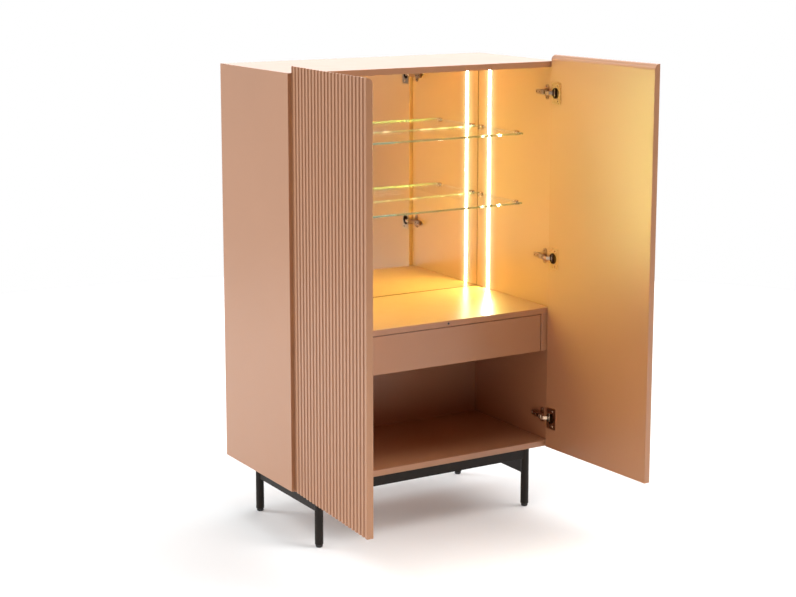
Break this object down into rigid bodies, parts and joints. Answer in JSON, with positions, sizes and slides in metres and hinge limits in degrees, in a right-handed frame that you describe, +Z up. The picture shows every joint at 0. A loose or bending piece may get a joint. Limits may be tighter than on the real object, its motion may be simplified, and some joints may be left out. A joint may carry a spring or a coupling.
{
  "type": "bar sideboard",
  "caption": "Tall bar sideboard on a steel base, with fluted doors on concealed hinges, a mirrored and lit bar space with glass shelves, a drawer and an open lower space.",
  "frame": {"origin": "on the floor, under the middle of the box that holds the cabinet and its two open doors", "axes": "+Z up, +Y towards the cabinet's back, so the front faces -Y, and +X to the right seen from the front"},
  "size_m": [0.9534, 0.8882, 1.4053],
  "materials": {
    "clay_lacquer": "matt clay-coloured lacquer on board",
    "silvered_glass": "silvered float glass",
    "clear_glass": "clear float glass with polished green edges",
    "nickelled_steel": "nickel plate",
    "zinc_plated_steel": "bright zinc plate",
    "satin_aluminium": "satin anodised",
    "warm_diffuser": "opal diffuser, lit warm white",
    "black_powder_coat": "fine matt black powder coat",
    "black_plastic": "moulded black plastic"
  },
  "bodies": {
    "cabinet": {"left_side": "clay_lacquer", "right_side": "clay_lacquer", "top_panel": "clay_lacquer", "bottom_panel": "clay_lacquer", "back_panel": "clay_lacquer", "worktop": "clay_lacquer", "mirror": "silvered_glass", "sensor": "black_plastic", "left_light_channel": "satin_aluminium", "right_light_channel": "satin_aluminium", "left_light_diffuser": "warm_diffuser", "right_light_diffuser": "warm_diffuser", "lower_glass_shelf": "clear_glass", "upper_glass_shelf": "clear_glass", "lower_front_clamp_left": "nickelled_steel", "lower_back_clamp_left": "nickelled_steel", "lower_front_clamp_right": "nickelled_steel", "lower_back_clamp_right": "nickelled_steel", "upper_front_clamp_left": "nickelled_steel", "upper_back_clamp_left": "nickelled_steel", "upper_front_clamp_right": "nickelled_steel", "upper_back_clamp_right": "nickelled_steel", "left_drawer_filler": "clay_lacquer", "right_drawer_filler": "clay_lacquer", "left_runner_fixed_member": "zinc_plated_steel", "right_runner_fixed_member": "zinc_plated_steel", "left_lower_hinge_arm": "nickelled_steel", "left_middle_hinge_arm": "nickelled_steel", "left_upper_hinge_arm": "nickelled_steel", "right_lower_hinge_arm": "nickelled_steel", "right_middle_hinge_arm": "nickelled_steel", "right_upper_hinge_arm": "nickelled_steel", "left_leg_frame": "black_powder_coat", "right_leg_frame": "black_powder_coat", "front_cross_rail": "black_powder_coat", "back_cross_rail": "black_powder_coat"},
    "left_links": {"left_lower_hinge_link": "nickelled_steel", "left_middle_hinge_link": "nickelled_steel", "left_upper_hinge_link": "nickelled_steel"},
    "right_links": {"right_lower_hinge_link": "nickelled_steel", "right_middle_hinge_link": "nickelled_steel", "right_upper_hinge_link": "nickelled_steel"},
    "left_door": {"left_door": "clay_lacquer", "left_lower_hinge_cup": "nickelled_steel", "left_middle_hinge_cup": "nickelled_steel", "left_upper_hinge_cup": "nickelled_steel"},
    "right_door": {"right_door": "clay_lacquer", "right_lower_hinge_cup": "nickelled_steel", "right_middle_hinge_cup": "nickelled_steel", "right_upper_hinge_cup": "nickelled_steel"},
    "drawer": {"drawer_front": "clay_lacquer", "drawer_box": "clay_lacquer", "left_runner_drawer_member": "zinc_plated_steel", "right_runner_drawer_member": "zinc_plated_steel"},
    "left_runner_middle": {"left_runner_middle_member": "zinc_plated_steel"},
    "right_runner_middle": {"right_runner_middle_member": "zinc_plated_steel"},
    "front_left_glide": {"front_left_glide": "black_plastic"},
    "front_right_glide": {"front_right_glide": "black_plastic"},
    "back_left_glide": {"back_left_glide": "black_plastic"},
    "back_right_glide": {"back_right_glide": "black_plastic"}
  },
  "joints": [
    {"name": "left_link_turn", "type": "hinge", "parent": "cabinet", "child": "left_links", "pos_m": [-0.42, 0.02113, 0.786], "axis": [0, 0, 1], "range_deg": [-30.51, 4.16]},
    {"name": "left_door_turn", "type": "hinge", "parent": "left_links", "child": "left_door", "pos_m": [-0.43536, -0.00185, 0.786], "axis": [0, 0, -1], "range_deg": [-123.8, 16.85]},
    {"name": "right_link_turn", "type": "hinge", "parent": "cabinet", "child": "right_links", "pos_m": [0.42, 0.02113, 0.786], "axis": [0, 0, -1], "range_deg": [-30.51, 4.16]},
    {"name": "right_door_turn", "type": "hinge", "parent": "right_links", "child": "right_door", "pos_m": [0.43536, -0.00185, 0.786], "axis": [0, 0, 1], "range_deg": [-123.8, 16.85]},
    {"name": "drawer_slide", "type": "slide", "parent": "cabinet", "child": "drawer", "axis": [0, -1, 0], "range_m": [0, 0.3]},
    {"name": "left_runner_slide", "type": "slide", "parent": "cabinet", "child": "left_runner_middle", "axis": [0, -1, 0], "range_m": [0, 0.15]},
    {"name": "right_runner_slide", "type": "slide", "parent": "cabinet", "child": "right_runner_middle", "axis": [0, -1, 0], "range_m": [0, 0.15]},
    {"name": "front_left_glide_height", "type": "slide", "parent": "cabinet", "child": "front_left_glide", "axis": [0, 0, -1], "range_m": [0, 0.01]},
    {"name": "front_right_glide_height", "type": "slide", "parent": "cabinet", "child": "front_right_glide", "axis": [0, 0, -1], "range_m": [0, 0.01]},
    {"name": "back_left_glide_height", "type": "slide", "parent": "cabinet", "child": "back_left_glide", "axis": [0, 0, -1], "range_m": [0, 0.01]},
    {"name": "back_right_glide_height", "type": "slide", "parent": "cabinet", "child": "back_right_glide", "axis": [0, 0, -1], "range_m": [0, 0.01]}
  ],
  "couplings": [
    {"joint": "left_link_turn", "follows": "left_door_turn", "ratio": 0.24637},
    {"joint": "right_link_turn", "follows": "right_door_turn", "ratio": 0.24637},
    {"joint": "left_runner_slide", "follows": "drawer_slide", "ratio": 0.5},
    {"joint": "right_runner_slide", "follows": "drawer_slide", "ratio": 0.5}
  ]
}
